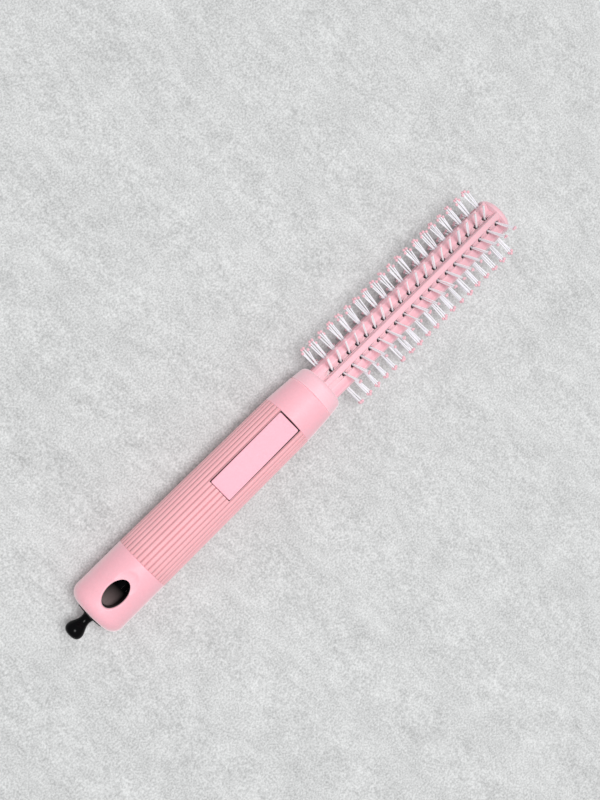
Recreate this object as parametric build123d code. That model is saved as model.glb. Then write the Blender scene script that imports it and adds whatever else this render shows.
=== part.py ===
from build123d import *
import math
import os

# Roller brush for styling hair, with a sectioning pick that pulls out of the end of its handle.
# Frame: the brush axis is X, with the pick's knob at -X and the barrel's tip at +X. +Z is up through the eye, the
# name plate and the top rib. The origin is on the axis, midway between the knob's end and the barrel's tip.

# Lengths along the axis, from the knob to the tip
knob_len = 11.7
butt_len = 28.4
grip_len = 82.1
band_len = 14.0
collar_len = 7.3
barrel_len = 106.1
spigot_len = 22.0  # how far the barrel's spigot reaches into the handle behind the collar

# Handle
butt_r = 12.7
butt_corner_r = 5.0
grip_front_r = 12.25
band_front_r = 11.4
sleeve_wall = 2.2  # thickness of the soft grip at its front end
groove_count = 36
groove_r = 0.42
groove_depth = 0.5

# Eye through the handle's butt, with a shallow thumb hollow beside it
eye_len = 13.4
eye_width = 8.3
eye_from_end = 13.3
hollow_r = 14.0
hollow_depth = 0.5
hollow_past_eye = 1.2

# Name plate in the window of the grip
plate_len = 40.4
plate_width = 10.9
plate_thickness = 1.6
plate_rise = 0.15  # how far its long edges stand above the grip at the front
plate_corner_r = 0.4
plate_gap = 0.15
peg_len = 4.0
peg_width = 3.0
peg_depth = 3.2
peg_inset = 6.0
peg_gap = 0.1

# Collar
collar_rear_r = 11.3
collar_front_r = 10.8
collar_edge_r = 2.2

# Barrel
rib_count = 6
rib_r = 8.5
rib_width = 2.5
rib_edge_r = 0.5
floor_r = 5.3
barrel_bore_r = 2.4
spigot_r = 5.6
plug_len = 6.0
cap_thickness = 2.4
cap_edge_r = 2.2

# Tufts
hole_r = 1.1
hole_bottom_r = 3.3
fold_height = 0.2  # the legs start this far above the hole's bottom
tuft_pitch = 5.14
tip_margin = 7.1
root_margin = 5.5
short_root_margin = 3.5  # the row at +Y starts one tuft nearer the collar
filament_r = 0.31
root_gap_x = 0.42
root_gap_y = 0.33
outer_splay_x = 1.3
inner_splay_x = 0.05
splay_y = 0.45
outer_short = 1.5  # the outer legs end this much nearer the axis
tuft_lean = 0.35
ball_r = 0.7
tip_circle_r = 17.5
anchor_thickness = 0.2
anchor_gap = 0.05
anchor_height = 1.4

# Pick and its socket
bulb_r = 4.0
bulb_from_end = 2.8
neck_r = 2.15
neck_from_end = 8.7
shank_r = 3.2
shank_len = 30.0
pin_rear_r = 2.0
pin_tip_r = 0.7
pick_inside_len = 97.0
pin_gap = 0.4
running_gap = 0.05
socket_wall = 0.8
socket_len = 15.6
flange_r = 6.35
flange_thickness = 1.0
flange_proud = 0.6
ring_from_end = 3.0
ring_width = 1.6
ring_thickness = 0.4

# Cross pin that locks the spigot
cross_pin_r = 1.25
cross_pin_from_band = 4.0
cross_pin_gap = 0.2

# Stations along the axis
overall_len = knob_len + butt_len + grip_len + band_len + collar_len + barrel_len
x_knob = -overall_len / 2
x_end = x_knob + knob_len
x_grip = x_end + butt_len
x_band = x_grip + grip_len
x_seam = x_band + band_len
x_barrel = x_seam + collar_len
x_tip = x_barrel + barrel_len
x_cap = x_tip - cap_thickness
x_spigot = x_seam - spigot_len
x_eye = x_end + eye_from_end
x_shank_end = x_end + shank_len
x_shoulder = x_shank_end + shank_r - pin_rear_r
x_pin_end = x_end + pick_inside_len

# Radii and heights that follow from the sizes above
core_r = grip_front_r - sleeve_wall
socket_r = shank_r + running_gap + socket_wall
plate_top = math.sqrt(grip_front_r**2 - (plate_width / 2) ** 2) + plate_rise
plate_bottom = plate_top - plate_thickness
x_plate = x_band - plate_len / 2
filament_bottom_r = hole_bottom_r + fold_height
ball_centre_r = tip_circle_r - ball_r
rib_step = 360 / rib_count


def turned(*points):
    """A solid turned about the X axis from (x, radius) corners."""
    return revolve(make_face(Polyline(*points, close=True)), Axis.X)


def rod(x_from, x_to, radius):
    """A cylinder on the X axis."""
    return turned((x_from, 0), (x_to, 0), (x_to, radius), (x_from, radius))


def block(x_mid, z_low, z_high, length, width):
    """A box centred on y = 0."""
    return Pos(x_mid, 0, (z_low + z_high) / 2) * Box(length, width, z_high - z_low)


def peg_stations():
    """The x of each snap peg under the name plate."""
    reach = plate_len / 2 - peg_inset
    return [x_plate - reach, x_plate + reach]


def cross_hole(extra):
    """The cylinder along Y that the cross pin fills, larger by extra."""
    x = x_band - cross_pin_from_band
    return Pos(x, 0, 0) * Rot(X=90) * Cylinder(cross_pin_r + extra, 3 * butt_r)


def eye_cutter():
    """The oval prism that opens the butt from top to bottom."""
    return Pos(x_eye, 0, 0) * extrude(Ellipse(eye_len / 2, eye_width / 2), 2 * butt_r, both=True)


def pick_bore():
    """Everything that the handle leaves free for the pick and its socket."""
    socket = rod(x_end - 1, x_end + socket_len, socket_r)
    flange = rod(x_end - 1, x_end + flange_thickness - flange_proud, flange_r)
    shank = rod(x_end, x_shoulder + pin_gap, shank_r + running_gap)
    pin = rod(x_shoulder, x_pin_end + 2 * pin_gap, pin_rear_r + pin_gap)
    return socket + flange + shank + pin


def handle_shell():
    """Smooth butt, core under the grip and tapered band, in one moulding."""
    corner = butt_corner_r * (1 - math.cos(math.radians(45)))
    outline = make_face([
        Line((x_end, 0), (x_end, butt_r - butt_corner_r)),
        ThreePointArc((x_end, butt_r - butt_corner_r), (x_end + corner, butt_r - corner),
                      (x_end + butt_corner_r, butt_r)),
        Polyline((x_end + butt_corner_r, butt_r), (x_grip, butt_r), (x_grip, core_r), (x_band, core_r),
                 (x_band, grip_front_r), (x_seam, band_front_r), (x_seam, 0), (x_end, 0)),
    ])
    body = revolve(outline, Axis.X)
    hollow_x = x_eye + eye_len / 2 + hollow_past_eye
    body -= Pos(hollow_x, 0, butt_r + hollow_r - hollow_depth) * Sphere(hollow_r)
    body -= eye_cutter()
    body -= pick_bore()
    body -= rod(x_spigot, x_seam, spigot_r)
    body -= cross_hole(0)
    body -= block(x_plate, plate_bottom, butt_r, plate_len, plate_width)
    for x in peg_stations():
        depth = peg_depth + peg_gap
        hole_size = (peg_len + 2 * peg_gap, peg_width + 2 * peg_gap)
        body -= block(x, plate_bottom - depth, plate_bottom, *hole_size)
    return body


def grip_sleeve():
    """Soft sleeve with lengthwise grooves all round and a window for the name plate."""
    sleeve = turned((x_grip, core_r), (x_grip, butt_r), (x_band, grip_front_r), (x_band, core_r))
    slope = Vector(grip_len, 0, grip_front_r - butt_r)
    middle = Vector((x_grip + x_band) / 2, 0, (butt_r + grip_front_r) / 2 + groove_r - groove_depth)
    groove = Plane(middle, x_dir=(0, 1, 0), z_dir=slope) * Cylinder(groove_r, 1.1 * grip_len)
    sleeve -= [Rot(X=i * 360 / groove_count) * groove for i in range(groove_count)]
    window_len = plate_len + plate_gap
    window_width = plate_width + 2 * plate_gap
    return sleeve - block(x_band - window_len / 2, 0, 2 * butt_r, window_len, window_width)


def name_plate():
    """Blank flat plate that snaps into the grip's window with two pegs."""
    plate = block(x_plate, plate_bottom, plate_top, plate_len, plate_width)
    plate = fillet(plate.edges().filter_by(Axis.Z), plate_corner_r)
    for x in peg_stations():
        plate += block(x, plate_bottom - peg_depth, plate_bottom, peg_len, peg_width)
    return plate


def collar():
    """Ring that closes the front of the handle, with a rounded front edge."""
    turn = collar_edge_r * (1 - math.cos(math.radians(45)))
    outline = make_face([
        Polyline((x_barrel, collar_front_r - collar_edge_r), (x_barrel, spigot_r), (x_seam, spigot_r),
                 (x_seam, collar_rear_r), (x_barrel - collar_edge_r, collar_front_r)),
        ThreePointArc((x_barrel - collar_edge_r, collar_front_r), (x_barrel - turn, collar_front_r - turn),
                      (x_barrel, collar_front_r - collar_edge_r)),
    ])
    return revolve(outline, Axis.X)


def tuft_stations(row):
    """The x of each tuft in a row. Neighbouring rows are half a pitch apart."""
    last = x_tip - tip_margin + (row % 2) * tuft_pitch / 2
    margin = short_root_margin if row == 1 else root_margin
    count = int((last - x_barrel - margin) / tuft_pitch) + 1
    return [last - i * tuft_pitch for i in range(count)]


def tuft_places(row):
    """Places with local Z pointing out along the tuft and local X along the brush."""
    turn = Rot(X=-(row + 0.5) * rib_step)
    return [turn * Pos(x, 0, 0) for x in tuft_stations(row)]


def barrel():
    """Six-ribbed bar with a blind hole for each tuft, a bore from its tip and a spigot at its root."""
    length = x_cap - x_barrel
    rib = Pos(x_barrel + length / 2, 0, rib_r / 2) * Box(length, rib_width, rib_r)
    rib = fillet(rib.edges().filter_by(Axis.X).sort_by(Axis.Z)[-2:], rib_edge_r)
    body = rod(x_barrel, x_cap, floor_r)
    body += [Rot(X=i * rib_step) * rib for i in range(rib_count)]
    body = body & rod(x_barrel, x_cap, rib_r)
    body += rod(x_spigot, x_barrel, spigot_r)
    body -= rod(x_barrel, x_cap, barrel_bore_r)
    body -= cross_hole(cross_pin_gap)
    depth = floor_r - hole_bottom_r + 1
    hole = Pos(0, 0, hole_bottom_r + depth / 2) * Cylinder(hole_r, depth)
    for row in range(rib_count):
        body -= [place * hole for place in tuft_places(row)]
    return body


def barrel_plug():
    """Round cap that closes the ends of the channels, with a rounded rim and a stub in the bore."""
    x_edge, face_r = x_tip - cap_edge_r, rib_r - cap_edge_r
    turn = cap_edge_r * math.cos(math.radians(45))
    outline = make_face([
        Polyline((x_tip, face_r), (x_tip, 0), (x_cap - plug_len, 0), (x_cap - plug_len, barrel_bore_r),
                 (x_cap, barrel_bore_r), (x_cap, rib_r), (x_edge, rib_r)),
        ThreePointArc((x_edge, rib_r), (x_edge + turn, face_r + turn), (x_tip, face_r)),
    ])
    return revolve(outline, Axis.X)


def legs():
    """Root and ball centre of each of a tuft's four filaments, in the tuft's own frame."""
    found = []
    for side_x in (-1, 1):
        for side_y in (-1, 1):
            outer = side_x == side_y
            splay_x = outer_splay_x if outer else inner_splay_x
            reach = ball_centre_r - (outer_short if outer else 0) - filament_bottom_r
            root = Vector(side_x * root_gap_x, side_y * root_gap_y, filament_bottom_r)
            found.append((root, root + Vector(side_x * splay_x + tuft_lean, side_y * splay_y, reach)))
    return found


def filament(root, centre):
    """Straight nylon filament from its root to the flat of its ball."""
    along = centre - root
    length = along.length - math.sqrt(ball_r**2 - filament_r**2)
    return Plane(root, z_dir=along) * Pos(0, 0, length / 2) * Cylinder(filament_r, length)


def ball(root, centre):
    """Ball tip with a small flat where the filament meets it."""
    seat = math.sqrt(ball_r**2 - filament_r**2)
    cap = Sphere(ball_r) - Pos(0, 0, -seat - ball_r) * Box(4 * ball_r, 4 * ball_r, 2 * ball_r)
    return Plane(centre, z_dir=centre - root) * cap


def anchor():
    """Small metal strip that stands on a hole's bottom, across it, and holds the folded tuft."""
    height = hole_bottom_r + anchor_height / 2
    return Pos(0, 0, height) * Box(anchor_thickness, 2 * (hole_r - anchor_gap), anchor_height)


def row_of(pieces, row):
    """The same small pieces at every tuft of a row, as separate solids."""
    return Compound(children=[place * piece for place in tuft_places(row) for piece in pieces])


def pick():
    """Sectioning pick: bulb, neck, shank and tapered pin, turned in one."""
    slope = 0.7
    bulb = (x_knob + bulb_from_end, bulb_r)
    neck = (x_knob + neck_from_end, neck_r)
    seat = (x_end - flange_proud, shank_r)
    outline = make_face([
        Spline((x_knob, 0), bulb, neck, seat, tangents=[(0, 1), (1, 0), (1, 0), (slope, 1)]),
        Polyline(seat, (x_shank_end, shank_r), (x_shoulder, pin_rear_r),
                 (x_pin_end - pin_tip_r, pin_tip_r), (x_pin_end, 0), (x_knob, 0)),
    ])
    return revolve(outline, Axis.X)


def pick_socket():
    """Black liner with a thin flange that the pick slides in."""
    inner = shank_r + running_gap
    liner = turned((x_end - flange_proud, inner), (x_end - flange_proud, flange_r),
                   (x_end + flange_thickness - flange_proud, flange_r),
                   (x_end + flange_thickness - flange_proud, socket_r),
                   (x_end + socket_len, socket_r), (x_end + socket_len, inner))
    groove_start = x_end + ring_from_end
    return liner - rod(groove_start, groove_start + ring_width, inner + ring_thickness)


def pick_ring():
    """Small ring in the socket that grips the shank."""
    inner = shank_r + running_gap
    start = x_end + ring_from_end
    return turned((start, inner), (start, inner + ring_thickness),
                  (start + ring_width, inner + ring_thickness), (start + ring_width, inner))


def cross_pin():
    """Pin through handle and spigot, hidden under the grip."""
    x = x_band - cross_pin_from_band
    half = math.sqrt(core_r**2 - cross_pin_r**2)
    return Pos(x, 0, 0) * Rot(X=90) * Cylinder(cross_pin_r, 2 * half)


def all_nodes():
    """Every node's solids by name."""
    nodes = {
        "handle_shell": handle_shell(),
        "grip_sleeve": grip_sleeve(),
        "name_plate": name_plate(),
        "collar": collar(),
        "barrel": barrel(),
        "barrel_plug": barrel_plug(),
        "cross_pin": cross_pin(),
        "pick_socket": pick_socket(),
        "pick_ring": pick_ring(),
        "pick": pick(),
    }
    filaments = [filament(root, centre) for root, centre in legs()]
    balls = [ball(root, centre) for root, centre in legs()]
    for row in range(rib_count):
        nodes[f"bristles_row_{row + 1}"] = row_of(filaments, row)
        nodes[f"tips_row_{row + 1}"] = row_of(balls, row)
        nodes[f"anchors_row_{row + 1}"] = row_of([anchor()], row)
    return nodes


os.makedirs("parts", exist_ok=True)
for name, solids in all_nodes().items():
    export_step(solids, f"parts/{name}.step")
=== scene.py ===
"""Looks of a roller brush with a pull-out sectioning pick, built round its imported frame.

The brush lies along X, with the pick's knob at -X and the barrel's tip at +X, and +Z up out of the name plate.
All sizes are in metres.
"""

import logging
import math
import random
from collections.abc import Callable
from dataclasses import dataclass, field
from enum import Enum

import bmesh
import bpy
from mathutils import Matrix, Vector

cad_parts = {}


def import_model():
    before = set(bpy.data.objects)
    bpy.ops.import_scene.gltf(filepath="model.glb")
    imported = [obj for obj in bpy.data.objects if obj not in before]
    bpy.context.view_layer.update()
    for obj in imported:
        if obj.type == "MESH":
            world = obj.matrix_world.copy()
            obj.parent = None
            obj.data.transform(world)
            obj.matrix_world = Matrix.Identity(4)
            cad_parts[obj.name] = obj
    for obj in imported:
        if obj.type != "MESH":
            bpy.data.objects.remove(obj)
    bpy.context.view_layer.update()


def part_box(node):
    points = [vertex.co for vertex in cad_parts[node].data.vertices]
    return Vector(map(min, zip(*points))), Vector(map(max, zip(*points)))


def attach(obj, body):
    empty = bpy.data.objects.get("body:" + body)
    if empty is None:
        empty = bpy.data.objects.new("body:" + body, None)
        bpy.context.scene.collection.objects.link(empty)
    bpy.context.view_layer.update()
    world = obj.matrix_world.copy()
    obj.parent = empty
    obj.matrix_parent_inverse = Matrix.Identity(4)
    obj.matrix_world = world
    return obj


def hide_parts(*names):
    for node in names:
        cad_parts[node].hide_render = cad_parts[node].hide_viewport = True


MM = 0.001
ON_AXIS = 1e-7  # the radius that stands for a point on the axis
GRIP_CORE_R = 10.05 * MM  # the handle under the grip, which the sleeve fits
GRIP_FRONT_R = 12.25 * MM  # the front of the sleeve, which the band carries on
Colour = tuple[float, float, float]
Station = tuple[float, float]
LOG = logging.getLogger("brush")


# Modelling helpers ---------------------------------------------------------------------------------------------


class Ends(Enum):
    """How a turned piece's profile finishes."""

    CAPPED = "a face closes each end"
    LOOPED = "the last ring joins the first, as on a tube"


def deselect() -> None:
    """Leaves nothing selected, in object mode."""
    if bpy.context.mode != "OBJECT":
        bpy.ops.object.mode_set(mode="OBJECT")
    bpy.ops.object.select_all(action="DESELECT")


def pick_up(piece: bpy.types.Object) -> bpy.types.Object:
    """Makes a piece the only selected and active one."""
    deselect()
    piece.select_set(True)
    bpy.context.view_layer.objects.active = piece
    return piece


def added(name: str) -> bpy.types.Object:
    """Names the primitive just added and settles its place into its mesh."""
    piece = bpy.context.object
    piece.name = name
    piece.data.name = name
    bpy.ops.object.transform_apply(location=True, rotation=True, scale=True)
    return piece


def apply_all(piece: bpy.types.Object) -> None:
    """Applies every modifier of a piece, in order."""
    pick_up(piece)
    for modifier in list(piece.modifiers):
        bpy.ops.object.modifier_apply(modifier=modifier.name)


def tidy(piece: bpy.types.Object, smooth_deg: float = 35.0) -> bpy.types.Object:
    """Merges doubles, turns faces outwards and smooths all but the sharp edges.

    Args:
        piece: the mesh to clean.
        smooth_deg: edges that turn by more than this stay sharp.

    Returns:
        The same piece.
    """
    pick_up(piece)
    bpy.ops.object.mode_set(mode="EDIT")
    bpy.ops.mesh.select_all(action="SELECT")
    bpy.ops.mesh.remove_doubles(threshold=2e-6)
    bpy.ops.mesh.normals_make_consistent(inside=False)
    bpy.ops.object.mode_set(mode="OBJECT")
    bpy.ops.object.shade_smooth_by_angle(angle=math.radians(smooth_deg))
    return piece


def arc(centre: Station, radius: float, start_deg: float, end_deg: float, steps: int) -> list[Station]:
    """Stations along a round stretch of a profile.

    Args:
        centre: (x, distance from the axis) of the arc's centre.
        radius: the arc's radius.
        start_deg: where it starts, counted from +X towards larger radii.
        end_deg: where it ends.
        steps: how many straight runs stand for it.

    Returns:
        steps + 1 stations.
    """
    turns = [math.radians(start_deg + (end_deg - start_deg) * i / steps) for i in range(steps + 1)]
    return [(centre[0] + radius * math.cos(t), centre[1] + radius * math.sin(t)) for t in turns]


def line(start: Station, end: Station, steps: int) -> list[Station]:
    """Evenly spaced stations from just after start to end."""
    shares = [i / steps for i in range(1, steps + 1)]
    return [tuple(a + (b - a) * t for a, b in zip(start, end)) for t in shares]


def draw_out(profile: list[Station], ends: Ends) -> None:
    """Extrudes the selected ring of the piece in edit mode through the rest of a profile, then closes it."""
    (here, radius), *rest = profile
    for x, r in rest:
        bpy.ops.mesh.extrude_region_move(TRANSFORM_OT_translate={"value": (x - here, 0, 0)})
        scale = max(r, ON_AXIS) / radius
        bpy.ops.transform.resize(value=(1, scale, scale), center_override=(x, 0, 0))
        here, radius = x, max(r, ON_AXIS)
    bpy.ops.mesh.select_all(action="DESELECT")
    bpy.ops.mesh.select_non_manifold()
    if ends is Ends.CAPPED:
        bpy.ops.mesh.edge_face_add()
    else:
        bpy.ops.mesh.bridge_edge_loops()


def turned(name: str, profile: list[Station], sides: int, ends: Ends = Ends.CAPPED) -> bpy.types.Object:
    """Turns a profile about the X axis.

    Args:
        name: the piece's name.
        profile: (x, radius) stations in order.
        sides: vertices round each ring.
        ends: whether the profile is capped or closes on itself.

    Returns:
        The new piece.
    """
    deselect()
    x, radius = profile[0][0], max(profile[0][1], ON_AXIS)
    bpy.ops.mesh.primitive_circle_add(
        vertices=sides, radius=radius, location=(x, 0, 0), rotation=(0, math.pi / 2, 0))
    piece = added(name)
    bpy.ops.object.mode_set(mode="EDIT")
    bpy.ops.mesh.select_all(action="SELECT")
    draw_out([(x, radius), *profile[1:]], ends)
    return tidy(piece)


def block(name: str, low: Vector, high: Vector) -> bpy.types.Object:
    """A box between two corners."""
    deselect()
    size = high - low
    bpy.ops.mesh.primitive_cube_add(size=1, location=(low + high) / 2, scale=size)
    return added(name)


def cut(piece: bpy.types.Object, cutter: bpy.types.Object) -> None:
    """Takes one solid away from another and throws the cutter away."""
    modifier = piece.modifiers.new("cut", "BOOLEAN")
    modifier.operation = "DIFFERENCE"
    modifier.solver = "EXACT"
    modifier.object = cutter
    apply_all(piece)
    bpy.data.objects.remove(cutter)


def finished_copy(node: str, smooth_deg: float = 30.0) -> bpy.types.Object:
    """A merged, smooth copy of a node's own mesh, which stands for it."""
    source = bpy.data.objects[node]
    piece = bpy.data.objects.new(f"{node}_finished", source.data.copy())
    bpy.context.scene.collection.objects.link(piece)
    piece.data.materials.clear()
    tidy(piece, smooth_deg)
    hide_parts(node)
    return piece


# Finishes ------------------------------------------------------------------------------------------------------


class Wire:
    """A shader socket that takes part in Python expressions."""

    def __init__(self, graph: "Graph", socket: bpy.types.NodeSocket) -> None:
        """Keeps the socket and the graph that new nodes go into."""
        self.graph = graph
        self.socket = socket

    def _math(self, operation: str, first: object, second: object) -> "Wire":
        """Adds one Math node."""
        return self.graph.add("ShaderNodeMath", {"operation": operation}, {0: first, 1: second})

    def __add__(self, other: object) -> "Wire":
        """self + other."""
        return self._math("ADD", self, other)

    def __sub__(self, other: object) -> "Wire":
        """self - other."""
        return self._math("SUBTRACT", self, other)

    def __rsub__(self, other: object) -> "Wire":
        """other - self."""
        return self._math("SUBTRACT", other, self)

    def __mul__(self, other: object) -> "Wire":
        """self * other."""
        return self._math("MULTIPLY", self, other)

    def __pow__(self, other: object) -> "Wire":
        """self ** other."""
        return self._math("POWER", self, other)

    __radd__ = __add__
    __rmul__ = __mul__

    def clamp(self, low: float, high: float) -> "Wire":
        """self held between low and high."""
        return self._math("MINIMUM", self._math("MAXIMUM", self, low), high)


class Graph:
    """A material's nodes, added by one method."""

    def __init__(self, name: str) -> None:
        """Makes the material with its shader, and reads Object coordinates."""
        self.material = bpy.data.materials.new(name)
        self.material.use_nodes = True
        self.tree = self.material.node_tree
        self.shader = self.tree.nodes["Principled BSDF"]
        self.place = self.add("ShaderNodeTexCoord", output="Object")

    def add(self, kind: str, settings: dict | None = None, inputs: dict | None = None,
            output: int | str = 0) -> Wire:
        """Adds a node.

        Args:
            kind: the node's type.
            settings: its own properties, or "stops" for a ramp's (position, colour) pairs.
            inputs: values or wires by socket.
            output: the socket to hand back.

        Returns:
            The chosen output.
        """
        node = self.tree.nodes.new(kind)
        for key, value in (settings or {}).items():
            if key == "stops":
                elements = node.color_ramp.elements
                while len(elements) < len(value):
                    elements.new(0.5)
                for element, (position, colour) in zip(elements, value):
                    element.position = position
                    element.color = (*colour, 1)
            else:
                setattr(node, key, value)
        for key, value in (inputs or {}).items():
            self.connect(node.inputs[key], value)
        return Wire(self, node.outputs[output])

    def connect(self, socket: bpy.types.NodeSocket, value: object) -> None:
        """Links a wire to a socket, or sets the socket's own value."""
        if isinstance(value, Wire):
            self.tree.links.new(value.socket, socket)
        elif isinstance(value, tuple) and len(value) == 3 and socket.type == "RGBA":
            socket.default_value = (*value, 1)
        else:
            socket.default_value = value

    def set(self, **values: object) -> None:
        """Sets the shader's sockets by name, with _ for a space."""
        for key, value in values.items():
            self.connect(self.shader.inputs[key.replace("_", " ")], value)

    def paint_shade(self, share: Wire, colour: Colour, roughness: float) -> None:
        """Covers the shader with a plain dull one where the share says so: painted shade."""
        over = self.add("ShaderNodeBsdfPrincipled", None, {
            "Base Color": colour, "Roughness": roughness, "Specular IOR Level": 0.15})
        both = self.add("ShaderNodeMixShader", None, {0: share, 1: Wire(self, self.shader.outputs[0]), 2: over})
        self.connect(self.tree.nodes["Material Output"].inputs["Surface"], both)

    def axis(self, name: str) -> Wire:
        """A point's X, Y or Z."""
        return self.add("ShaderNodeSeparateXYZ", None, {0: self.place}, name)

    def along(self) -> Wire:
        """How far a point is from the handle's end."""
        return self.axis("X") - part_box("handle_shell")[0].x

    def noise(self, scale: float, detail: float = 3.0, stretch: Colour = (1, 1, 1)) -> Wire:
        """Noise of a scale in features for each metre, stretched along the axes."""
        place = self.add("ShaderNodeMapping", None, {"Vector": self.place, "Scale": stretch})
        return self.add("ShaderNodeTexNoise", None, {"Vector": place, "Scale": scale, "Detail": detail})

    def axis_distance(self) -> Wire:
        """How far a point is from the X axis."""
        y, z = self.axis("Y"), self.axis("Z")
        return (y * y + z * z) ** 0.5

    def fleck(self, cloud: Wire) -> Wire:
        """Where moulded plastic or rubber is a little paler, in small flecks and broad clouds."""
        return ((cloud * 0.35 + self.noise(1050, 3) * 0.65 - 0.5) * 2.2 + 0.5).clamp(0, 1)

    def mix(self, share: object, first: object, second: object) -> Wire:
        """Mixes two colours."""
        return self.add("ShaderNodeMix", {"data_type": "RGBA"}, {0: share, 6: first, 7: second}, 2)

    def bump(self, height: Wire, distance: float, strength: float = 1.0) -> Wire:
        """Turns a height into a normal."""
        return self.add("ShaderNodeBump", None, {"Height": height, "Distance": distance, "Strength": strength})


def shade(colour: Colour, share: float) -> Colour:
    """A colour made lighter (share above 1) or darker."""
    return tuple(min(1.0, c * share) for c in colour)


@dataclass(frozen=True)
class MouldedPlastic:
    """Injection-moulded plastic with a fine spark-eroded grain."""

    name: str
    colour: Colour
    roughness: float
    grain: float = 0.5  # how strong the moulded grain is
    soft: float = 0.08  # how much light goes into it
    coat: float = 0.0
    scuffs: float = 0.35  # how much handling has rubbed it
    shine: float = 0.35
    bloom: float = 0.65  # pale dusty look where the surface turns away
    painted_shade_below: float = 0.0  # nearer the axis than this, recesses are painted dark as shade
    painted_shade_share: float = 0.1
    painted_shade_from: float = 0.0  # how far on from the handle's end the painted shade starts and stops
    painted_shade_to: float = 1.0
    painted_far_shade: Colour | None = None  # painted shade: what the colour darkens to towards the far end
    painted_far_shade_from: float = 135 * MM
    painted_far_shade_over: float = 100 * MM
    painted_light_below: float = 0.0  # nearer the axis than this, painted light: the channels are paler, as if lit
    painted_light_colour: Colour = (0.95, 0.68, 0.73)

    def material(self) -> bpy.types.Material:
        """Builds the material."""
        g = Graph(self.name)
        cloud = g.noise(70, 2)
        speck = g.noise(2600, 2)
        grain = g.noise(3800, 4)
        flow = g.noise(160, 3, (0.25, 1, 1))
        rub = (g.noise(420, 6, (1, 3, 3)) - 0.60).clamp(0, 0.2) * 5 * self.scuffs
        edge = (g.add("ShaderNodeNewGeometry", output="Pointiness") - 0.52).clamp(0, 0.06) * 8
        tone = g.mix(g.fleck(cloud), shade(self.colour, 0.95), shade(self.colour, 1.045))
        tone = g.mix((speck - 0.42).clamp(0, 0.3) * 0.35, tone, shade(self.colour, 0.90))
        tone = g.mix(rub * 0.25 + edge, tone, shade(self.colour, 1.10))
        # Painted light: paler nearer the axis, where the channels would lie in shade.
        if self.painted_light_below:
            painted_light_share = ((self.painted_light_below - g.axis_distance()) * (0.8 / MM)).clamp(0, 1)
            tone = g.mix(painted_light_share * (cloud * 0.3 + 0.8).clamp(0, 1), tone, self.painted_light_colour)
        # Painted shade: darker and greyer towards the far end.
        if self.painted_far_shade:
            far = ((g.along() - self.painted_far_shade_from) * (1 / self.painted_far_shade_over)).clamp(0, 1)
            tone = g.mix(far, tone, self.painted_far_shade)
        # Painted shade: recesses nearer the axis are covered with a dark dull shader.
        if self.painted_shade_below:
            deep = ((self.painted_shade_below - g.axis_distance()) * (2 / MM)).clamp(0, 1)
            deep = deep * ((g.along() - self.painted_shade_from) * (1 / MM)).clamp(0, 1)
            deep = deep * ((self.painted_shade_to - g.along()) * (1 / MM)).clamp(0, 1)
            g.paint_shade(deep, shade(self.colour, self.painted_shade_share), 0.4)
        height = grain * self.grain + flow * 0.6 - rub * 0.3
        g.set(Specular_IOR_Level=self.shine, Sheen_Weight=self.bloom, Sheen_Roughness=0.45,
              Base_Color=tone, Roughness=(self.roughness + (cloud - 0.5) * 0.10 + rub * 0.12).clamp(0.05, 1),
              Normal=g.bump(height, 0.03 * MM, 0.6), Coat_Weight=self.coat, Coat_Roughness=0.25, IOR=1.49,
              Subsurface_Weight=self.soft, Subsurface_Radius=(1.2 * MM, 0.5 * MM, 0.45 * MM),
              Subsurface_Scale=1.0)
        return g.material


@dataclass(frozen=True)
class SoftGrip:
    """Soft rubber of a grip, with painted shade in its grooves and wear along its ribs."""

    name: str
    colour: Colour
    # how dark the painted groove shade is
    groove_painted_shade: float = 0.50
    top_painted_shade_share: float = 0.42  # how much of that painted shade the top and bottom grooves hold, as light falls there
    groove_painted_shade_from: float = 0.05 * MM  # how deep under the crest the painted shade starts
    bloom: float = 0.5

    def material(self) -> bpy.types.Material:
        """Builds the material, with painted shade in the grooves, darker than on the ribs."""
        g = Graph(self.name)
        cloud = g.noise(90, 3)
        grain = g.noise(5200, 3)
        low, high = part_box("grip_sleeve")
        slope = (GRIP_FRONT_R - high.z) / (high.x - low.x)
        crest = (g.axis("X") - low.x) * slope + high.z
        # Painted shade in the grooves, weaker at the top and bottom, where the light falls.
        groove = ((crest - g.axis_distance() - self.groove_painted_shade_from) * (2.2 / MM)).clamp(0, 1)
        y = g.axis("Y")
        side = (y * y * (1 / GRIP_FRONT_R**2)) ** 0.5
        groove = groove * (side * (1 - self.top_painted_shade_share) * 1.3 + self.top_painted_shade_share).clamp(0, 1)
        rub = (g.noise(700, 5, (0.5, 2, 2)) - 0.55).clamp(0, 0.25) * 2
        tone = g.mix(g.fleck(cloud), shade(self.colour, 0.94), shade(self.colour, 1.06))
        tone = g.mix(groove, tone, shade(self.colour, self.groove_painted_shade))
        tone = g.mix(rub * 0.4, tone, shade(self.colour, 1.07))
        g.set(Base_Color=tone, Roughness=(rub * 0.1 + 0.62).clamp(0, 1), IOR=1.45,
              Sheen_Weight=self.bloom, Sheen_Roughness=0.45,
              Normal=g.bump(grain * 0.7 + g.noise(300, 2) * 0.3, 0.03 * MM, 0.7),
              Subsurface_Weight=0.06, Subsurface_Radius=(1.0 * MM, 0.4 * MM, 0.4 * MM), Subsurface_Scale=1.0)
        return g.material


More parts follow.
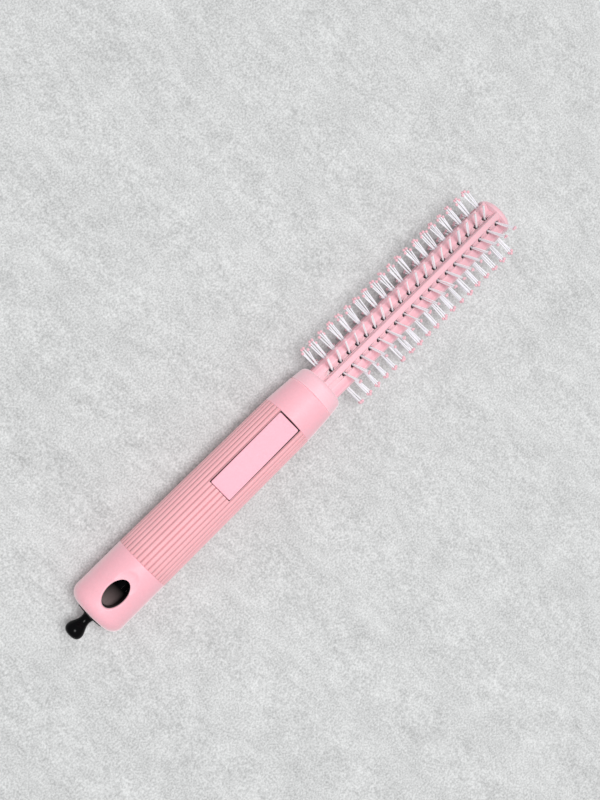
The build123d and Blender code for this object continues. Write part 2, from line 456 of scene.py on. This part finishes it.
@dataclass(frozen=True)
class Nylon:
    """Drawn nylon filament, milky and a little uneven along its length."""

    name: str
    colour: Colour
    painted_glow: float = 0.22  # painted light: the filament glows a little, so it stays bright in shade

    def material(self) -> bpy.types.Material:
        """Builds the material."""
        g = Graph(self.name)
        streak = g.noise(1500, 3)
        tone = g.mix(streak, shade(self.colour, 0.90), shade(self.colour, 1.04))
        g.set(Base_Color=tone, Roughness=(0.28 + streak * 0.14).clamp(0, 1), IOR=1.53,
              Normal=g.bump(g.noise(4200, 2), 0.02 * MM, 0.5),
              # Painted light: a faint emission keeps the filament bright in shade.
              Sheen_Weight=1.0, Sheen_Roughness=0.8, Emission_Color=tone, Emission_Strength=self.painted_glow,
              Subsurface_Weight=0.35, Subsurface_Radius=(0.8 * MM, 0.8 * MM, 0.9 * MM), Subsurface_Scale=1.0)
        return g.material


@dataclass(frozen=True)
class DrawnMetal:
    """Drawn steel with fine lengthwise lines."""

    name: str
    colour: Colour

    def material(self) -> bpy.types.Material:
        """Builds the material."""
        g = Graph(self.name)
        lines = g.noise(2400, 4, (1, 1, 0.1))
        g.set(Base_Color=g.mix(lines, shade(self.colour, 0.85), shade(self.colour, 1.1)), Metallic=1.0,
              Roughness=(0.3 + lines * 0.2).clamp(0, 1), Normal=g.bump(lines, 0.01 * MM, 0.4))
        return g.material


@dataclass(frozen=True)
class PaintedSheenBlack:
    """Black plastic of the socket, painted grey as a lit sheen where the eye lets light in."""

    name: str
    unlit_black: Colour = (0.004, 0.0035, 0.0035)
    painted_sheen_colour: Colour = (0.22, 0.165, 0.165)
    painted_sheen_start: float = 5.5 * MM  # from the handle's end
    painted_sheen_from: float = 7.5 * MM
    painted_sheen_to: float = 15.2 * MM

    def material(self) -> bpy.types.Material:
        """Builds the material, with a painted sheen towards the handle's end."""
        g = Graph(self.name)
        # Painted light: a grey sheen on the black near the eye, fading to black further in.
        clear = ((g.along() - self.painted_sheen_from) * (1 / (self.painted_sheen_to - self.painted_sheen_from))).clamp(0, 1)
        inside = ((g.along() - self.painted_sheen_start) * (2 / MM)).clamp(0, 1)
        painted_sheen = inside * (1 - clear) * (g.noise(900, 4) * 0.6 + 0.7).clamp(0, 1)
        g.set(Base_Color=g.mix(painted_sheen, self.unlit_black, self.painted_sheen_colour), Roughness=(painted_sheen * 0.2 + 0.35).clamp(0, 1), IOR=1.45,
              Specular_IOR_Level=0.2, Normal=g.bump(g.noise(3000, 3), 0.02 * MM, 0.5))
        return g.material


@dataclass(frozen=True)
class PaleStone:
    """Plain pale grey ground with a faint mottle."""

    name: str
    colour: Colour

    def material(self) -> bpy.types.Material:
        """Builds the material."""
        g = Graph(self.name)
        mottle = g.noise(1250, 2) * 0.62 + g.noise(260, 5, (1, 0.4, 1)) * 0.24 + g.noise(45, 3) * 0.14
        tone = g.mix((mottle - 0.25).clamp(0, 0.5) * 2, shade(self.colour, 0.58), shade(self.colour, 1.42))
        g.set(Base_Color=tone, Roughness=0.85, Specular_IOR_Level=0.2,
              Normal=g.bump(g.noise(900, 5), 0.15 * MM, 0.35))
        return g.material


Finish = MouldedPlastic | SoftGrip | Nylon | DrawnMetal | PaintedSheenBlack | PaleStone


@dataclass(frozen=True)
class Palette:
    """Every finish on the brush."""

    # The handle's eye walls, bore and plate pocket get painted shade.
    handle: MouldedPlastic = MouldedPlastic(
        "handle_plastic", (0.90, 0.46, 0.53), 0.46,
        painted_shade_below=11.6 * MM, painted_shade_share=0.03, painted_shade_from=5.5 * MM, painted_shade_to=113 * MM)
    plate: MouldedPlastic = MouldedPlastic(
        "plate_plastic", (0.90, 0.455, 0.542), 0.55, grain=0.3, shine=0.3, bloom=0.1)
    collar: MouldedPlastic = MouldedPlastic("collar_plastic", (0.91, 0.535, 0.605), 0.42)
    # The barrel's channels are painted paler as light, its tip and holes darker as shade.
    barrel: MouldedPlastic = MouldedPlastic(
        "barrel_plastic", (0.88, 0.475, 0.54), 0.50, grain=0.3, shine=0.2, painted_shade_below=5.0 * MM, painted_shade_share=0.03,
        painted_light_below=7.6 * MM, painted_light_colour=(0.91, 0.56, 0.615), painted_far_shade=(0.74, 0.445, 0.495))
    cap: MouldedPlastic = MouldedPlastic("cap_plastic", (0.82, 0.50, 0.555), 0.50, grain=0.3)
    tips: MouldedPlastic = MouldedPlastic("tip_plastic", (0.80, 0.475, 0.53), 0.45, grain=0.1, scuffs=0.1)
    gloss_black: MouldedPlastic = MouldedPlastic(
        "black_gloss", (0.003, 0.003, 0.0035), 0.14, grain=0.1, soft=0.0, shine=0.06, bloom=0.0)
    satin_black: PaintedSheenBlack = PaintedSheenBlack("black_satin")
    rubber: MouldedPlastic = MouldedPlastic("black_rubber", (0.02, 0.02, 0.02), 0.7, grain=1.0, soft=0.0, bloom=0.05)
    grip: SoftGrip = SoftGrip("grip_rubber", (0.88, 0.44, 0.48))
    nylon: Nylon = Nylon("nylon", (0.68, 0.68, 0.73))
    steel: DrawnMetal = DrawnMetal("steel", (0.58, 0.58, 0.60))


class Workshop:
    """Keeps one Blender material for each finish and dresses pieces in them."""

    def __init__(self) -> None:
        """Starts with no materials made."""
        self.made: dict[str, bpy.types.Material] = {}

    def dress(self, piece: bpy.types.Object, finish: Finish) -> bpy.types.Object:
        """Puts a finish all over a piece."""
        if finish.name not in self.made:
            self.made[finish.name] = finish.material()
        piece.data.materials.clear()
        piece.data.materials.append(self.made[finish.name])
        return piece

    def place(self, piece: bpy.types.Object, finish: Finish, slot: str, body: str = "brush") -> None:
        """Dresses a piece, ties it to its body, and reports it."""
        self.dress(piece, finish)
        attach(piece, body)
        LOG.info("%s: %d faces on %s", piece.name, len(piece.data.polygons), body)


# Handle --------------------------------------------------------------------------------------------------------


@dataclass
class Eye:
    """The oval opening through the butt, with a rounded lip."""

    x: float
    half_len: float = 6.7 * MM
    half_width: float = 4.15 * MM
    lip: float = 0.8 * MM
    steps: int = 5
    sides: int = 96

    def cutter(self, butt_r: float) -> bpy.types.Object:
        """A solid that cuts the opening and its two lips.

        Args:
            butt_r: the radius of the round butt that the lips follow.

        Returns:
            The cutter.
        """
        rings: list[list[Vector]] = []
        for side in (1, -1):
            levels = [math.radians(90 * k / self.steps) for k in range(self.steps + 1)]
            lips = [(self.lip * (1 - math.cos(a)), self.lip * (1 - math.sin(a))) for a in levels]
            heights = [self._ring(grow, sink, butt_r, side) for grow, sink in lips]
            top = [Vector((v.x, v.y, side * 2 * butt_r)) for v in heights[-1]]
            rings = [*reversed([*heights, top]), *rings] if side == 1 else [*rings, *heights, top]
        mesh = bmesh.new()
        loops = [[mesh.verts.new(v) for v in ring] for ring in rings]
        for one, two in zip(loops, loops[1:]):
            for i in range(self.sides):
                j = (i + 1) % self.sides
                mesh.faces.new((one[i], one[j], two[j], two[i]))
        mesh.faces.new(loops[0])
        mesh.faces.new(loops[-1])
        data = bpy.data.meshes.new("eye_cutter")
        mesh.to_mesh(data)
        mesh.free()
        piece = bpy.data.objects.new("eye_cutter", data)
        bpy.context.scene.collection.objects.link(piece)
        return tidy(piece)

    def _ring(self, grow: float, sink: float, butt_r: float, side: int) -> list[Vector]:
        """One oval ring, grown outwards and sunk below the round surface."""
        ring = []
        for i in range(self.sides):
            turn = 2 * math.pi * i / self.sides
            x = self.x + (self.half_len + grow) * math.cos(turn)
            y = (self.half_width + grow) * math.sin(turn)
            ring.append(Vector((x, y, side * (math.sqrt(butt_r**2 - y**2) - sink))))
        return ring


@dataclass
class Handle:
    """The handle moulding: rounded butt, core under the grip, tapered band."""

    shop: Workshop
    palette: Palette
    corner: float = 5.0 * MM
    seam_r: float = 11.4 * MM
    edge: float = 0.25 * MM
    eye_from_end: float = 13.3 * MM
    pocket_depth: float = 3.2 * MM
    pocket_side: float = 0.3 * MM
    pocket_end: float = 0.1 * MM
    cut_past: float = 1.0 * MM  # how far a cutter stands past the face that it opens
    hollow_len: float = 5.6 * MM
    hollow_width: float = 4.5 * MM
    hollow_depth: float = 0.8 * MM
    hollow_back: float = 1.5 * MM
    bore_r: float = 4.05 * MM
    bore_len: float = 15.6 * MM
    inner_bore_r: float = 3.25 * MM
    inner_bore_len: float = 98.0 * MM
    sides: int = 144

    def profile(self) -> list[Station]:
        """The handle's outline from the middle of its end face to its front face."""
        low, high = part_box("handle_shell")
        sleeve_low, sleeve_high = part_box("grip_sleeve")
        butt = high.z
        corner = arc((low.x + self.corner, butt - self.corner), self.corner, 180, 90, 14)
        front = (high.x - self.edge, self.seam_r)
        return [
            (low.x, 0), (low.x, butt * 0.3), *corner,
            *line(corner[-1], (sleeve_low.x - self.edge, butt), 42),
            (sleeve_low.x, butt - self.edge), (sleeve_low.x, GRIP_CORE_R),
            *line((sleeve_low.x, GRIP_CORE_R), (sleeve_high.x, GRIP_CORE_R), 12),
            (sleeve_high.x, GRIP_FRONT_R - self.edge), (sleeve_high.x + self.edge, GRIP_FRONT_R),
            *line((sleeve_high.x + self.edge, GRIP_FRONT_R), front, 12),
            (high.x, self.seam_r - 1.6 * self.edge), (high.x, 0),
        ]

    def build(self) -> bpy.types.Object:
        """Turns the handle, presses the thumb hollow into it and cuts its openings."""
        low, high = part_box("handle_shell")
        piece = turned("handle_moulding", self.profile(), self.sides)
        eye = Eye(low.x + self.eye_from_end)
        self.press_hollow(piece, eye.x + eye.half_len - self.hollow_back, high.z)
        cut(piece, eye.cutter(high.z))
        mouth, step, end = low.x - self.cut_past, low.x + self.bore_len, low.x + self.inner_bore_len
        bore = [(mouth, 0), (mouth, self.bore_r), (step, self.bore_r), (step, self.inner_bore_r),
                (end, self.inner_bore_r), (end, 0)]
        cut(piece, turned("bore_cutter", bore, 48))
        plate_low, plate_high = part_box("name_plate")
        side = Vector((0, self.pocket_side, 0))
        pocket = Vector((plate_low.x - self.pocket_end, plate_low.y, plate_high.z - self.pocket_depth)) - side
        cut(piece, block("pocket_cutter", pocket, Vector((plate_high.x, plate_high.y, high.z)) + side))
        tidy(piece)
        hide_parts("handle_shell")
        self.shop.place(piece, self.palette.handle, "handle_pink")
        return piece

    def press_hollow(self, piece: bpy.types.Object, x: float, butt: float) -> None:
        """Presses a shallow oval hollow into the top of the butt.

        Args:
            piece: the turned handle.
            x: the middle of the hollow.
            butt: the butt's radius.
        """
        for vertex in piece.data.vertices:
            p = vertex.co
            far = math.hypot((p.x - x) / self.hollow_len, p.y / self.hollow_width)
            if p.z > 0.5 * butt and far < 1:
                p.z -= self.hollow_depth * (1 - far**2) ** 0.5


@dataclass
class Grip:
    """The soft ribbed sleeve and the blank plate in its window."""

    shop: Workshop
    palette: Palette
    grooves: int = 36
    per_groove: int = 12
    groove_depth: float = 0.55 * MM
    groove_width: float = 0.26  # as a share of half the step between grooves
    rib_crown: float = 0.05 * MM
    edge: float = 0.12 * MM
    window_side: float = 0.2 * MM
    window_rear: float = 0.12 * MM
    window_end: float = 0.55 * MM
    cut_past: float = 1.0 * MM
    plate_trim: float = 0.15 * MM
    plate_thickness: float = 1.6 * MM
    plate_turn_deg: float = 0.55
    plate_edge: float = 0.3 * MM
    plate_corner: float = 0.6 * MM

    def sleeve(self) -> bpy.types.Object:
        """Draws the grooved ring out along the sleeve, then cuts the window."""
        low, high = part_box("grip_sleeve")
        rear = high.z
        deselect()
        bpy.ops.mesh.primitive_circle_add(vertices=self.grooves * self.per_groove, radius=rear,
                                          location=(low.x, 0, 0), rotation=(0, math.pi / 2, 0))
        piece = added("ribbed_grip")
        self.press_grooves(piece, rear)
        bpy.ops.object.mode_set(mode="EDIT")
        bpy.ops.mesh.select_all(action="SELECT")
        share = GRIP_CORE_R / rear
        bpy.ops.transform.resize(value=(1, share, share), center_override=(low.x, 0, 0))
        draw_out([(low.x, GRIP_CORE_R), (low.x, rear - self.edge), (low.x + self.edge, rear),
                  *line((low.x + self.edge, rear), (high.x - self.edge, GRIP_FRONT_R), 10),
                  (high.x, GRIP_FRONT_R - self.edge), (high.x, GRIP_CORE_R)], Ends.LOOPED)
        tidy(piece, 50)
        plate_low, plate_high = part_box("name_plate")
        side = Vector((0, self.window_side, 0))
        start = Vector((plate_low.x - self.window_rear, plate_low.y, 2 * MM)) - side
        end = Vector((high.x + self.cut_past, plate_high.y, rear + self.cut_past)) + side
        cut(piece, block("window_cutter", start, end))
        tidy(piece, 50)
        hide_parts("grip_sleeve")
        self.shop.place(piece, self.palette.grip, "grip_pink")
        return piece

    def press_grooves(self, piece: bpy.types.Object, rear: float) -> None:
        """Moves the ring's vertices inwards where a groove runs, and crowns the ribs between."""
        for vertex in piece.data.vertices:
            turn = math.atan2(vertex.co.y, vertex.co.z) * self.grooves / (2 * math.pi)
            near = abs(turn - round(turn)) * 2
            dip = math.exp(-((near / self.groove_width) ** 2)) * self.groove_depth + self.rib_crown * (1 - near) ** 2
            vertex.co.y *= 1 - dip / rear
            vertex.co.z *= 1 - dip / rear

    def plate(self) -> bpy.types.Object:
        """Bevels a thin block and sets it a little askew in the window."""
        low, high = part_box("name_plate")
        trim = self.plate_trim
        piece = block("blank_plate", Vector((low.x + trim, low.y + trim, high.z - self.plate_thickness)),
                      Vector((high.x - self.window_end, high.y - trim, high.z)))
        bpy.ops.object.mode_set(mode="EDIT")
        self.bevel(piece, lambda a, b: abs(a.z - b.z) > 0.5 * MM, self.plate_corner)
        self.bevel(piece, lambda a, b: min(a.z, b.z) > high.z - 0.01 * MM, self.plate_edge)
        bpy.ops.mesh.select_all(action="SELECT")
        centre = ((low.x + high.x) / 2, 0, high.z)
        bpy.ops.transform.rotate(value=-math.radians(self.plate_turn_deg), orient_axis="Z", center_override=centre)
        bpy.ops.object.mode_set(mode="OBJECT")
        tidy(piece, 40)
        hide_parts("name_plate")
        self.shop.place(piece, self.palette.plate, "plate_pink")
        return piece

    @staticmethod
    def bevel(piece: bpy.types.Object, wanted: Callable[[Vector, Vector], bool], offset: float) -> None:
        """Bevels the edges whose two ends pass a test, in edit mode."""
        mesh = bmesh.from_edit_mesh(piece.data)
        for item in (*mesh.verts, *mesh.edges, *mesh.faces):
            item.select = False
        for edge in mesh.edges:
            if wanted(edge.verts[0].co, edge.verts[1].co):
                edge.select_set(True)
        bmesh.update_edit_mesh(piece.data)
        bpy.ops.mesh.bevel(offset=offset, segments=4, profile=0.5, affect="EDGES")


@dataclass
class Collar:
    """The ring between the handle and the barrel."""

    shop: Workshop
    palette: Palette
    front_r: float = 10.8 * MM
    round_edge: float = 2.3 * MM
    rear_edge: float = 0.3 * MM
    bore_r: float = 5.6 * MM

    def build(self) -> bpy.types.Object:
        """Turns the ring with a soft front edge and a fine chamfer at the seam."""
        low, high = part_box("collar")
        rear_r = high.z
        edge = self.round_edge
        piece = turned("front_collar", [
            (low.x, self.bore_r), (low.x, rear_r - 1.4 * self.rear_edge), (low.x + self.rear_edge, rear_r),
            *line((low.x + self.rear_edge, rear_r), (high.x - edge, self.front_r), 6),
            *arc((high.x - edge, self.front_r - edge), edge, 90, 0, 10), (high.x, self.bore_r),
        ], 128, Ends.LOOPED)
        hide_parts("collar")
        self.shop.place(piece, self.palette.collar, "collar_pink")
        return piece


# Barrel --------------------------------------------------------------------------------------------------------


@dataclass
class Barrel:
    """The ribbed barrel and the plug in its tip."""

    shop: Workshop
    palette: Palette

    def build(self) -> None:
        """Finishes the barrel and its plug from their own shapes, with the long faces' normals evened out."""
        barrel = pick_up(finished_copy("barrel"))
        even = barrel.modifiers.new("even_normals", "WEIGHTED_NORMAL")
        even.keep_sharp = True
        bpy.ops.object.modifier_apply(modifier=even.name)
        self.shop.place(barrel, self.palette.barrel, "barrel_pink")
        self.shop.place(finished_copy("barrel_plug"), self.palette.cap, "barrel_pink")


@dataclass
class Tufts:
    """Six rows of nylon tufts with ball tips, each filament a little different."""

    shop: Workshop
    palette: Palette
    rows: int = 6
    pitch: float = 5.14 * MM
    anchor_thickness: float = 0.2 * MM
    root_r: float = 3.5 * MM
    ball_centre_r: float = 16.8 * MM
    ball_r: float = 0.62 * MM
    filament_r: float = 0.28 * MM
    root_x: float = 0.31 * MM
    root_y: float = 0.28 * MM
    root_shift: float = 0.42 * MM  # narrow tufts leave their hole on its tip side
    outer_splay: float = 1.3 * MM
    inner_splay: float = 0.05 * MM
    splay_y: float = 0.45 * MM
    outer_short: float = 1.5 * MM
    leans: tuple[float, ...] = (-0.15 * MM, 0.35 * MM, 0.35 * MM, 0.35 * MM, 0.35 * MM, 0.5 * MM)
    spreads: tuple[float, ...] = (0.1, 1.0, 0.6, 0.6, 0.35, 0.12)  # how far each row splays
    gathers: tuple[float, ...] = (0.5, 1.0, 0.8, 0.8, 1.2, 0.5)  # how wide its tufts stand in their holes
    pinches: tuple[float, ...] = (1.0, 1.0, 1.0, 1.0, 0.8, 1.0)  # how much of that is left at the ball tips
    fines: tuple[float, ...] = (0.75, 1.0, 0.9, 0.9, 1.0, 0.75)  # how thick its filaments are
    balls: tuple[float, ...] = (0.75, 1.05, 1.0, 1.0, 1.1, 0.8)  # how large its ball tips are
    filament_sides: int = 8
    filament_cuts: int = 7
    ball_stretch: float = 1.06
    smooth_deg: float = 50.0
    draw: random.Random = field(default_factory=lambda: random.Random(11))

    def stations(self, row: int) -> list[float]:
        """The x of every tuft in a row, from the tip to the collar."""
        low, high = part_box(f"anchors_row_{row + 1}")
        inset = self.anchor_thickness / 2
        first, last = low.x + inset, high.x - inset
        gaps = round((last - first) / self.pitch)
        return [last + (first - last) * i / gaps for i in range(gaps + 1)]

    def templates(self) -> tuple[bpy.types.Mesh, bpy.types.Mesh]:
        """One filament of unit length and radius, and one ball tip, modelled once."""
        deselect()
        bpy.ops.mesh.primitive_cylinder_add(vertices=self.filament_sides, radius=1, depth=1, location=(0, 0, 0.5),
                                            end_fill_type="TRIFAN")
        filament = added("filament_pattern")
        bpy.ops.object.mode_set(mode="EDIT")
        for i in range(1, self.filament_cuts):
            bpy.ops.mesh.select_all(action="SELECT")
            bpy.ops.mesh.bisect(plane_co=(0, 0, i / self.filament_cuts), plane_no=(0, 0, 1))
        bpy.ops.object.mode_set(mode="OBJECT")
        deselect()
        bpy.ops.mesh.primitive_uv_sphere_add(segments=12, ring_count=8, radius=self.ball_r)
        ball = added("ball_pattern")
        bpy.ops.object.mode_set(mode="EDIT")
        bpy.ops.mesh.select_all(action="SELECT")
        bpy.ops.transform.resize(value=(1, 1, self.ball_stretch))
        bpy.ops.object.mode_set(mode="OBJECT")
        meshes = (filament.data, ball.data)
        for pattern in (filament, ball):
            bpy.data.objects.remove(pattern)
        return meshes

    def leg(self, row: int, side_x: int, side_y: int) -> tuple[Vector, Vector, Vector]:
        """Root, bend and ball centre of one filament in its tuft's frame, each drawn a little differently.

        Args:
            row: the tuft's row, counted from 0.
            side_x: -1 or 1 for the leg's side along the brush.
            side_y: -1 or 1 for its side across the brush.

        Returns:
            The three points.
        """
        vary = self.draw.uniform
        outer = side_x == side_y
        spread = self.spreads[row]
        beside = side_x * self.root_x * self.gathers[row]
        root = Vector((beside + self.root_shift * (1 - spread), side_y * self.root_y * self.gathers[row], self.root_r))
        splay = self.outer_splay * vary(0.65, 1.15) if outer else self.inner_splay
        lean = self.leans[row] * vary(0.2, 1.5)
        across = side_y * spread * self.splay_y * vary(0.2, 1.1)
        short = self.outer_short * spread * vary(0.5, 1.3) if outer else 0
        short += vary(0.05, 0.5) * MM
        pinched = beside * (1 - self.pinches[row])
        end = Vector((root.x - pinched + side_x * spread * splay + lean, root.y + across, self.ball_centre_r - short))
        middle = (root + end) / 2 + Vector((vary(-0.3, 0.3), vary(-0.25, 0.25), 0)) * MM
        return root, middle, end

    def build(self) -> None:
        """Builds each row's filaments and ball tips as two pieces, and finishes its anchors."""
        filament, ball = self.templates()
        for row in range(self.rows):
            nylon, tips = bmesh.new(), bmesh.new()
            turn = Matrix.Rotation(-math.radians((row + 0.5) * 360 / self.rows), 4, "X")
            for x in self.stations(row):
                place = turn @ Matrix.Translation((x, 0, 0))
                for side_x in (-1, 1):
                    for side_y in (-1, 1):
                        path = [place @ p for p in self.leg(row, side_x, side_y)]
                        self.add_filament(nylon, filament, path, self.filament_r * self.fines[row])
                        self.add_ball(tips, ball, path, self.balls[row])
            self.finish_row(nylon, f"nylon_tufts_{row + 1}", f"bristles_row_{row + 1}", self.palette.nylon,
                            "white_nylon")
            self.finish_row(tips, f"ball_tips_{row + 1}", f"tips_row_{row + 1}", self.palette.tips, "tip_pink")
            self.shop.place(finished_copy(f"anchors_row_{row + 1}"), self.palette.steel, "steel")

    @staticmethod
    def add_filament(mesh: bmesh.types.BMesh, pattern: bpy.types.Mesh, path: list[Vector], radius: float) -> None:
        """Adds one filament bent along its root, bend and ball centre."""
        root, middle, end = path
        side = (end - root).orthogonal().normalized()
        across = (end - root).normalized().cross(side)
        first = len(mesh.verts)
        mesh.from_mesh(pattern)
        mesh.verts.ensure_lookup_table()
        for vertex in mesh.verts[first:]:
            t = vertex.co.z
            centre = root * (1 - t) ** 2 + (2 * middle - (root + end) / 2) * 2 * t * (1 - t) + end * t**2
            vertex.co = centre + (side * vertex.co.x + across * vertex.co.y) * radius

    @staticmethod
    def add_ball(mesh: bmesh.types.BMesh, pattern: bpy.types.Mesh, path: list[Vector], size: float) -> None:
        """Adds one ball tip in line with its filament's end."""
        along = path[2] - path[1]
        first = len(mesh.verts)
        mesh.from_mesh(pattern)
        mesh.verts.ensure_lookup_table()
        bmesh.ops.transform(mesh, verts=mesh.verts[first:],
                            matrix=Matrix.Translation(path[2]) @ along.to_track_quat("Z", "Y").to_matrix().to_4x4()
                            @ Matrix.Scale(size, 4))

    def finish_row(self, mesh: bmesh.types.BMesh, name: str, node: str, finish: Finish, slot: str) -> None:
        """Turns a gathered row into a piece that stands for its node."""
        data = bpy.data.meshes.new(name)
        mesh.to_mesh(data)
        mesh.free()
        piece = bpy.data.objects.new(name, data)
        bpy.context.scene.collection.objects.link(piece)
        pick_up(piece)
        bpy.ops.object.shade_smooth_by_angle(angle=math.radians(self.smooth_deg))
        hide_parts(node)
        self.shop.place(piece, finish, slot)


@dataclass
class SectioningPick:
    """The pull-out pick with its socket, ring and the hidden cross pin."""

    shop: Workshop
    palette: Palette

    def build(self) -> None:
        """Finishes each piece from its own shape."""
        self.shop.place(finished_copy("pick"), self.palette.gloss_black, "black_gloss", "pick")
        self.shop.place(finished_copy("pick_socket"), self.palette.satin_black, "black_plastic")
        self.shop.place(finished_copy("pick_ring"), self.palette.rubber, "black_rubber")
        self.shop.place(finished_copy("cross_pin"), self.palette.steel, "steel")


# Studio --------------------------------------------------------------------------------------------------------


@dataclass
class Studio:
    """Pale ground, soft light and the camera."""

    shop: Workshop
    ground: PaleStone = PaleStone("pale_ground", (0.558, 0.566, 0.566))
    ground_size: float = 6.0
    camera_at: Vector = field(default_factory=lambda: Vector((-68.5, 54.9, 492.3)) * MM)
    looks_at: Vector = field(default_factory=lambda: Vector((7.6, 2.2, 0.0)) * MM)
    up_azimuth_deg: float = 45.7
    lens_mm: float = 54.5
    key_from: Vector = field(default_factory=lambda: Vector((0.08, -0.10, 1.75)))
    key_size: float = 0.8
    key_watts: float = 26.0
    sky: float = 0.41
    heel_in: float = 5 * MM  # how far in from the ends the ground touches
    toe_in: float = 1 * MM

    def lay_ground(self) -> None:
        """Lays the ground under the butt and the lowest ball tips, at the slope that they rest at."""
        butt_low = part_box("handle_shell")[0]
        tips_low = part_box("tips_row_3")[0]
        heel = Vector((butt_low.x + self.heel_in, 0, butt_low.z))
        toe = Vector((tips_low.x + self.toe_in, 0, tips_low.z))
        slope = math.atan2(heel.z - toe.z, toe.x - heel.x)
        deselect()
        bpy.ops.mesh.primitive_plane_add(size=self.ground_size, location=heel, rotation=(0, slope, 0))
        plane = added("ground")
        self.shop.dress(plane, self.ground)

    def light(self) -> None:
        """Adds a small key from above, and an even sky."""
        data = bpy.data.lights.new("key", "AREA")
        data.shape = "DISK"
        data.size = self.key_size
        data.energy = self.key_watts
        key = bpy.data.objects.new("key", data)
        key.location = self.key_from
        key.rotation_euler = (-self.key_from).to_track_quat("-Z", "Y").to_euler()
        bpy.context.scene.collection.objects.link(key)
        world = bpy.data.worlds.new("sky")
        world.use_nodes = True
        background = world.node_tree.nodes["Background"]
        background.inputs["Color"].default_value = (1, 1, 1, 1)
        background.inputs["Strength"].default_value = self.sky
        bpy.context.scene.world = world
        bpy.context.scene.view_settings.view_transform = "Standard"

    def aim(self) -> None:
        """Sets the camera, rolled so that the brush runs up to the right."""
        data = bpy.data.cameras.new("camera")
        data.lens = self.lens_mm
        data.clip_start = 0.01
        camera = bpy.data.objects.new("camera", data)
        bpy.context.scene.collection.objects.link(camera)
        back = (self.camera_at - self.looks_at).normalized()
        azimuth = math.radians(self.up_azimuth_deg)
        right = Vector((math.cos(azimuth), math.sin(azimuth), 0)).cross(back).normalized()
        turn = Matrix((right, back.cross(right), back)).transposed()
        camera.matrix_world = Matrix.Translation(self.camera_at) @ turn.to_4x4()
        bpy.context.scene.camera = camera

    def build(self) -> None:
        """Sets up ground, light and camera."""
        self.lay_ground()
        self.light()
        self.aim()


def main() -> None:
    """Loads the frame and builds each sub-assembly."""
    logging.basicConfig(level=logging.INFO, format="%(message)s")
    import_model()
    shop, palette = Workshop(), Palette()
    Studio(shop).build()
    Handle(shop, palette).build()
    grip = Grip(shop, palette)
    grip.sleeve()
    grip.plate()
    Collar(shop, palette).build()
    Barrel(shop, palette).build()
    Tufts(shop, palette).build()
    SectioningPick(shop, palette).build()


if __name__ == "__main__":
    main()
